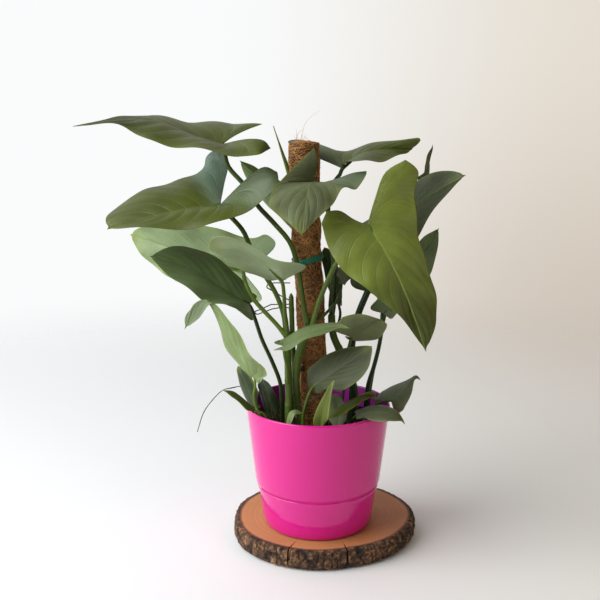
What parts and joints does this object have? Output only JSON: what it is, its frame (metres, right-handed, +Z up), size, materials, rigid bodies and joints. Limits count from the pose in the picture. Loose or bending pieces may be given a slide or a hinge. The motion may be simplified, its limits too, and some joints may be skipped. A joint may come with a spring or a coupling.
{
  "type": "potted philodendron hastatum",
  "caption": "Climbing arrow-leaved aroid on a coir pole in a tapered glossy plastic pot, standing on a slice of log with bark.",
  "frame": {"origin": "centre of the pot's axis on the flat underside of the wood slice", "axes": "+Z up along the pot's axis, +X to the right as seen from the front, -Y towards the front, where most leaves face"},
  "size_m": [0.5211, 0.2412, 0.6],
  "materials": {
    "wood": "sawn log slice, matt, with rough dark bark",
    "pot": "glossy moulded plastic, satin inside",
    "potting_mix": "crumbly dark bark and soil, matt",
    "coir": "wound coconut fibre, matt and hairy",
    "tie_band": "thin plastic band, satin",
    "wire": "dark covered wire, satin",
    "root": "dry bark-like skin, matt",
    "stem": "smooth living stem, satin",
    "leaf_olive": "leathery leaf, satin sheen, raised veins",
    "leaf_silver": "leathery leaf, silvery bloom, raised veins",
    "leaf_dark": "leathery leaf, satin sheen, raised veins",
    "leaf_pale": "thin young leaf, silvery green, raised veins"
  },
  "bodies": {
    "root": {"wood_slice": "wood", "pot": "pot", "potting_mix": "potting_mix", "coir_pole": "coir", "tie_band": "tie_band", "vine_front": "stem", "vine_left": "stem", "vine_pole": "stem", "vine_right": "stem", "leaf_top_left": "leaf_olive", "leaf_left_large": "leaf_olive", "leaf_left_pale": "leaf_pale", "leaf_left_dark": "leaf_dark", "leaf_front_left": "leaf_silver", "leaf_centre_arched": "leaf_silver", "leaf_centre_back": "leaf_dark", "leaf_top_right": "leaf_olive", "leaf_right_large": "leaf_olive", "leaf_right_back": "leaf_silver", "leaf_right_low": "leaf_dark", "leaf_right_small": "leaf_silver", "leaf_front_glaucous": "leaf_pale", "leaf_front_low": "leaf_silver", "leaf_hanging_pale": "leaf_pale", "leaf_crinkled": "leaf_silver", "leaf_upright_back": "leaf_dark", "leaf_thin_right": "leaf_silver", "leaf_low_right_upper": "leaf_silver", "leaf_low_right_over": "leaf_silver", "leaf_low_arching": "leaf_olive", "leaf_low_upright_olive": "leaf_olive", "leaf_low_upright_grey": "leaf_silver", "leaf_low_tiny": "leaf_pale", "leaf_low_left_upright": "leaf_dark", "leaf_low_left_drooping": "leaf_olive", "leaf_low_narrow": "leaf_dark", "leaf_low_dark": "leaf_dark", "leaf_spear": "stem", "aerial_root_dry": "root", "aerial_root_front": "root", "aerial_root_thick": "root", "tie_upper": "wire", "tie_lower": "wire"}
  },
  "joints": []
}
